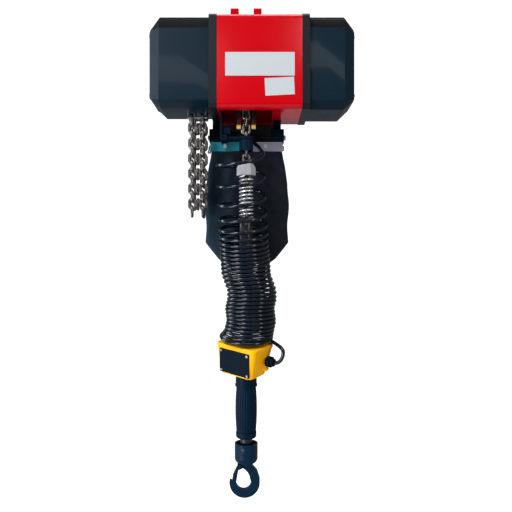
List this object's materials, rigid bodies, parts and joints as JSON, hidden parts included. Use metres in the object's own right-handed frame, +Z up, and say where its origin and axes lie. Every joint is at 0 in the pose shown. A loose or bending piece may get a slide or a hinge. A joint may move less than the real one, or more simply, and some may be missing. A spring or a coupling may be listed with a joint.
{
  "type": "chain hoist",
  "caption": "Electric chain hoist: red and black body, load chain, curly cable, yellow control box, grip handle and swivel hook with latch.",
  "frame": {"origin": "centre of the suspension bore through the two lugs", "axes": "+Z up, -Y toward the front with the name plate, +X along the body toward the electrics cover"},
  "size_m": [0.3982, 0.1673, 0.948],
  "materials": {
    "red_paint": "gloss",
    "black_paint": "satin",
    "black_trim": "matte",
    "cast_housing": "cast",
    "yellow_plastic": "matte",
    "black_plastic": "matte",
    "grip_rubber": "matte",
    "chain_steel": "dark",
    "bright_steel": "polished",
    "plain_steel": "brushed",
    "core_steel": "laminated",
    "bearing_steel": "polished",
    "lip_brass": "satin",
    "bag_fabric": "woven",
    "cable_sheath": "satin",
    "blank_label": "gloss",
    "board_green": "gloss",
    "hook_paint": "satin",
    "bumper_rubber": "matte"
  },
  "bodies": {
    "hoist_body": {"bag_bolts": "bright_steel", "bag_brackets": "plain_steel", "bag_frame": "plain_steel", "brake_coil": "plain_steel", "bundle_hangers": "plain_steel", "cable_gland": "black_plastic", "cable_lead": "cable_sheath", "centre_cover": "red_paint", "chain_bag": "bag_fabric", "chain_bundle": "chain_steel", "chain_guide": "plain_steel", "circuit_board": "board_green", "cover_screws": "bright_steel", "electrics_cover": "black_paint", "end_shield": "cast_housing", "eye_bolt": "bright_steel", "gearbox_housing": "cast_housing", "guide_lips": "lip_brass", "label_plates": "blank_label", "left_trim": "black_trim", "lever_bracket": "black_plastic", "limit_switch": "black_plastic", "motor_cover": "black_paint", "motor_frame": "cast_housing", "power_modules": "black_plastic", "right_trim": "black_trim", "shaft_bearings": "bearing_steel", "slack_chain": "chain_steel", "stator": "core_steel", "suspension_lugs": "red_paint"},
    "motor_rotor": {"motor_shaft": "plain_steel", "rotor_core": "core_steel", "brake_disc": "plain_steel"},
    "brake_plate": {"brake_armature": "plain_steel"},
    "layshaft_set": {"layshaft": "plain_steel", "layshaft_gear": "plain_steel"},
    "wheel_set": {"load_wheel": "plain_steel", "output_gear": "plain_steel", "wheel_chain": "chain_steel"},
    "lever_set": {"limit_lever": "plain_steel", "lever_bumper": "bumper_rubber"},
    "handle": {"load_chain": "chain_steel", "handle_core": "plain_steel", "chain_pin": "plain_steel", "control_box": "yellow_plastic", "box_plate": "black_plastic", "plate_screws": "plain_steel", "control_board": "board_green", "box_gland": "black_plastic", "upper_collar": "black_plastic", "cable_tail": "cable_sheath", "buffer_spring": "bright_steel", "curly_cable": "cable_sheath"},
    "buffer_cap": {"cap_nut": "bright_steel"},
    "control_grip": {"grip_sleeve": "grip_rubber", "lower_collar": "black_plastic"},
    "hook_swivel": {"hook_cup": "hook_paint", "thrust_washer": "plain_steel", "hook": "hook_paint"},
    "latch": {"hook_latch": "hook_paint"}
  },
  "joints": [
    {"name": "handle_lift", "type": "slide", "parent": "hoist_body", "child": "handle", "axis": [0, 0, 1], "range_m": [-0.12, 0.024], "deforming": ["curly_cable"]},
    {"name": "load_wheel_turn", "type": "hinge", "parent": "hoist_body", "child": "wheel_set", "pos_m": [0, 0.02865, -0.102], "axis": [1, 0, 0], "continuous": true},
    {"name": "layshaft_turn", "type": "hinge", "parent": "hoist_body", "child": "layshaft_set", "pos_m": [0, 0.02865, -0.06075], "axis": [1, 0, 0], "continuous": true},
    {"name": "motor_turn", "type": "hinge", "parent": "hoist_body", "child": "motor_rotor", "pos_m": [0, 0.02865, -0.102], "axis": [1, 0, 0], "continuous": true},
    {"name": "brake_release", "type": "slide", "parent": "hoist_body", "child": "brake_plate", "axis": [1, 0, 0], "range_m": [-0.0006, 0], "stiffness_N_per_m": 20000},
    {"name": "limit_lever_tip", "type": "hinge", "parent": "hoist_body", "child": "lever_set", "pos_m": [-0.041, 0, -0.2405], "axis": [0, 1, 0], "range_deg": [-4, 0], "stiffness_Nm_per_rad": 2},
    {"name": "buffer_press", "type": "slide", "parent": "handle", "child": "buffer_cap", "axis": [0, 0, 1], "range_m": [-0.035, 0], "stiffness_N_per_m": 3000, "deforming": ["buffer_spring"]},
    {"name": "grip_slide", "type": "slide", "parent": "handle", "child": "control_grip", "axis": [0, 0, 1], "range_m": [-0.008, 0.008], "stiffness_N_per_m": 2000},
    {"name": "hook_turn", "type": "hinge", "parent": "handle", "child": "hook_swivel", "pos_m": [0, 0, -0.86], "axis": [0, 0, 1], "continuous": true},
    {"name": "latch_swing", "type": "hinge", "parent": "hook_swivel", "child": "latch", "pos_m": [-0.012, 0, -0.8775], "axis": [0, 1, 0], "range_deg": [-35, 0], "stiffness_Nm_per_rad": 0.05}
  ],
  "couplings": [
    {"joint": "load_wheel_turn", "follows": "handle_lift", "rad_per_m": -34.907},
    {"joint": "layshaft_turn", "follows": "handle_lift", "rad_per_m": 157.08},
    {"joint": "motor_turn", "follows": "handle_lift", "rad_per_m": -706.86}
  ]
}
